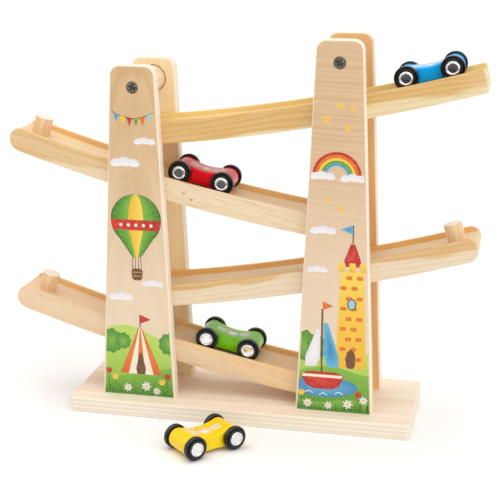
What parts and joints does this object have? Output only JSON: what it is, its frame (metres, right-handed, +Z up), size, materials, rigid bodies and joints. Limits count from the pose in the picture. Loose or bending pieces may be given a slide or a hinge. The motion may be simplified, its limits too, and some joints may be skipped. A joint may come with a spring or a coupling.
{
  "type": "zig-zag car track toy",
  "caption": "wooden toy track with curved ramps zig-zagging between two tapered towers on a base, and small wheeled cars that roll down and turn over from ramp to ramp",
  "frame": {"origin": "middle of the base board's flat underside, on the surface that the toy stands on", "axes": "+X along the base towards the taller tower, +Y to the back, +Z up"},
  "size_m": [0.3639, 0.1685, 0.295],
  "materials": {
    "base_plywood": "clear satin lacquer on pale plywood, plies bare on the edges",
    "post_plywood": "clear satin lacquer on pale plywood, printed in colours on the front faces",
    "ramp_pine": "clear satin lacquer on pine",
    "dowel_beech": "sanded beech, lightly lacquered",
    "screw_steel": "blackened steel, cross head",
    "axle_steel": "bright drawn steel wire",
    "wheel_plastic": "black moulded plastic, satin",
    "cap_metal": "bright pressed metal",
    "blue_paint": "gloss paint on wood",
    "red_paint": "gloss paint on wood",
    "green_paint": "gloss paint on wood",
    "yellow_paint": "gloss paint on wood"
  },
  "bodies": {
    "stand": {"base_board": "base_plywood", "left_front_post": "post_plywood", "left_rear_post": "post_plywood", "right_front_post": "post_plywood", "right_rear_post": "post_plywood", "left_spacer": "dowel_beech", "right_spacer": "dowel_beech", "left_spacer_screws": "screw_steel", "right_spacer_screws": "screw_steel", "base_screws": "screw_steel", "top_ramp": "ramp_pine", "second_ramp": "ramp_pine", "third_ramp": "ramp_pine", "bottom_ramp": "ramp_pine", "top_ramp_dowels": "dowel_beech", "second_ramp_dowels": "dowel_beech", "third_ramp_dowels": "dowel_beech", "bottom_ramp_dowels": "dowel_beech", "second_ramp_peg": "dowel_beech", "third_ramp_peg": "dowel_beech", "bottom_ramp_peg": "dowel_beech"},
    "blue_car": {"blue_car_body": "blue_paint"},
    "blue_front_axle_set": {"blue_car_front_axle": "axle_steel", "blue_car_front_wheels": "wheel_plastic", "blue_car_front_caps": "cap_metal"},
    "blue_rear_axle_set": {"blue_car_rear_axle": "axle_steel", "blue_car_rear_wheels": "wheel_plastic", "blue_car_rear_caps": "cap_metal"},
    "red_car": {"red_car_body": "red_paint"},
    "red_front_axle_set": {"red_car_front_axle": "axle_steel", "red_car_front_wheels": "wheel_plastic", "red_car_front_caps": "cap_metal"},
    "red_rear_axle_set": {"red_car_rear_axle": "axle_steel", "red_car_rear_wheels": "wheel_plastic", "red_car_rear_caps": "cap_metal"},
    "green_car": {"green_car_body": "green_paint"},
    "green_front_axle_set": {"green_car_front_axle": "axle_steel", "green_car_front_wheels": "wheel_plastic", "green_car_front_caps": "cap_metal"},
    "green_rear_axle_set": {"green_car_rear_axle": "axle_steel", "green_car_rear_wheels": "wheel_plastic", "green_car_rear_caps": "cap_metal"},
    "yellow_car": {"yellow_car_body": "yellow_paint"},
    "yellow_front_axle_set": {"yellow_car_front_axle": "axle_steel", "yellow_car_front_wheels": "wheel_plastic", "yellow_car_front_caps": "cap_metal"},
    "yellow_rear_axle_set": {"yellow_car_rear_axle": "axle_steel", "yellow_car_rear_wheels": "wheel_plastic", "yellow_car_rear_caps": "cap_metal"}
  },
  "joints": [
    {"name": "blue_car_roll", "type": "hinge", "parent": "stand", "child": "blue_car", "pos_m": [-0.21228, 0, 1.63892], "axis": [0, 1, 0], "range_deg": [-0.72, 8.15]},
    {"name": "blue_front_axle_turn", "type": "hinge", "parent": "blue_car", "child": "blue_front_axle_set", "pos_m": [0.11985, 0, 0.26654], "axis": [0, 1, 0], "continuous": true},
    {"name": "blue_rear_axle_turn", "type": "hinge", "parent": "blue_car", "child": "blue_rear_axle_set", "pos_m": [0.1528, 0, 0.27494], "axis": [0, 1, 0], "continuous": true},
    {"name": "red_car_roll", "type": "hinge", "parent": "stand", "child": "red_car", "pos_m": [0.26934, 0, 1.56521], "axis": [0, -1, 0], "range_deg": [-4.21, 3.64]},
    {"name": "red_front_axle_turn", "type": "hinge", "parent": "red_car", "child": "red_front_axle_set", "pos_m": [-0.01703, 0, 0.18256], "axis": [0, -1, 0], "continuous": true},
    {"name": "red_rear_axle_turn", "type": "hinge", "parent": "red_car", "child": "red_rear_axle_set", "pos_m": [-0.05024, 0, 0.18985], "axis": [0, -1, 0], "continuous": true},
    {"name": "green_car_roll", "type": "hinge", "parent": "stand", "child": "green_car", "pos_m": [0.27425, 0, 1.43602], "axis": [0, -1, 0], "range_deg": [-5.06, 2.81]},
    {"name": "green_front_axle_turn", "type": "hinge", "parent": "green_car", "child": "green_front_axle_set", "pos_m": [0.00331, 0, 0.05026], "axis": [0, -1, 0], "continuous": true},
    {"name": "green_rear_axle_turn", "type": "hinge", "parent": "green_car", "child": "green_rear_axle_set", "pos_m": [-0.02998, 0, 0.05718], "axis": [0, -1, 0], "continuous": true},
    {"name": "yellow_car_roll", "type": "slide", "parent": "stand", "child": "yellow_car", "axis": [0.682, 0.7314, 0], "range_m": [-0.15, 0.014]},
    {"name": "yellow_front_axle_turn", "type": "hinge", "parent": "yellow_car", "child": "yellow_front_axle_set", "pos_m": [-0.00041, -0.07957, 0.009], "axis": [-0.7314, 0.682, 0], "continuous": true},
    {"name": "yellow_rear_axle_turn", "type": "hinge", "parent": "yellow_car", "child": "yellow_rear_axle_set", "pos_m": [-0.02359, -0.10443, 0.009], "axis": [-0.7314, 0.682, 0], "continuous": true}
  ],
  "couplings": [
    {"joint": "blue_front_axle_turn", "follows": "blue_car_roll", "ratio": -157.89},
    {"joint": "blue_rear_axle_turn", "follows": "blue_car_roll", "ratio": -157.89},
    {"joint": "red_front_axle_turn", "follows": "red_car_roll", "ratio": -157.89},
    {"joint": "red_rear_axle_turn", "follows": "red_car_roll", "ratio": -157.89},
    {"joint": "green_front_axle_turn", "follows": "green_car_roll", "ratio": -157.89},
    {"joint": "green_rear_axle_turn", "follows": "green_car_roll", "ratio": -157.89},
    {"joint": "yellow_front_axle_turn", "follows": "yellow_car_roll", "rad_per_m": 111.11},
    {"joint": "yellow_rear_axle_turn", "follows": "yellow_car_roll", "rad_per_m": 111.11}
  ]
}
